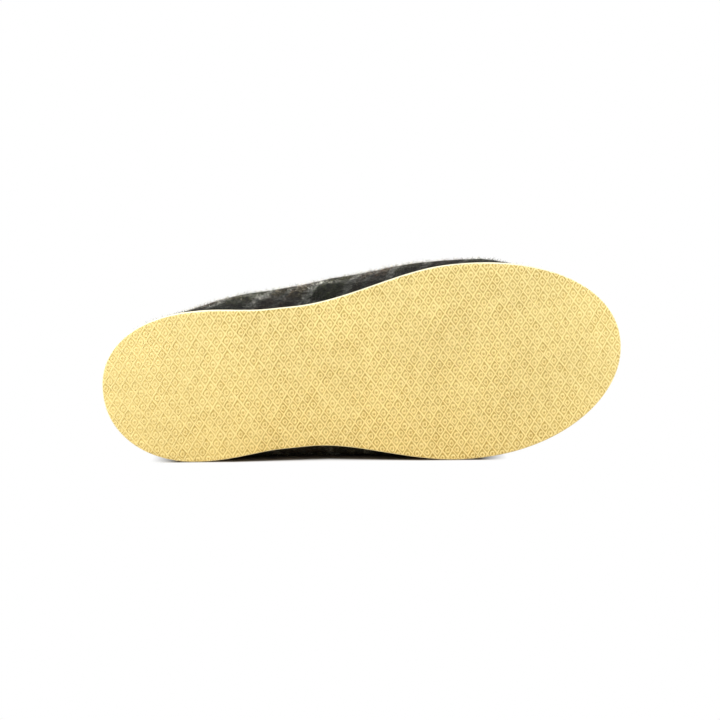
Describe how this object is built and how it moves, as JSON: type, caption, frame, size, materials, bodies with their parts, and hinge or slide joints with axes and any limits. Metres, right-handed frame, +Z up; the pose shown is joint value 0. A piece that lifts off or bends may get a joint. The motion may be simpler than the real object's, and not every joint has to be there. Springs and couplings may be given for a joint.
{
  "type": "charentaise slipper",
  "caption": "Low felt house slipper with a high rounded tongue, a turned collar hem, a felt insole and a flat die-cut rubber sole with diamond tread, lying on its outer side.",
  "frame": {"origin": "on the floor, under the middle of the lying slipper's box", "axes": "+X along the floor from heel to toe, +Y from the tread towards the collar, +Z up, from the outer side that it lies on towards the inner side"},
  "size_m": [0.2592, 0.091, 0.0982],
  "materials": {
    "outsole": "matte",
    "upper": "matte",
    "insole": "matte"
  },
  "bodies": {
    "root": {"outsole": "outsole", "upper": "upper", "insole": "insole"}
  },
  "joints": []
}
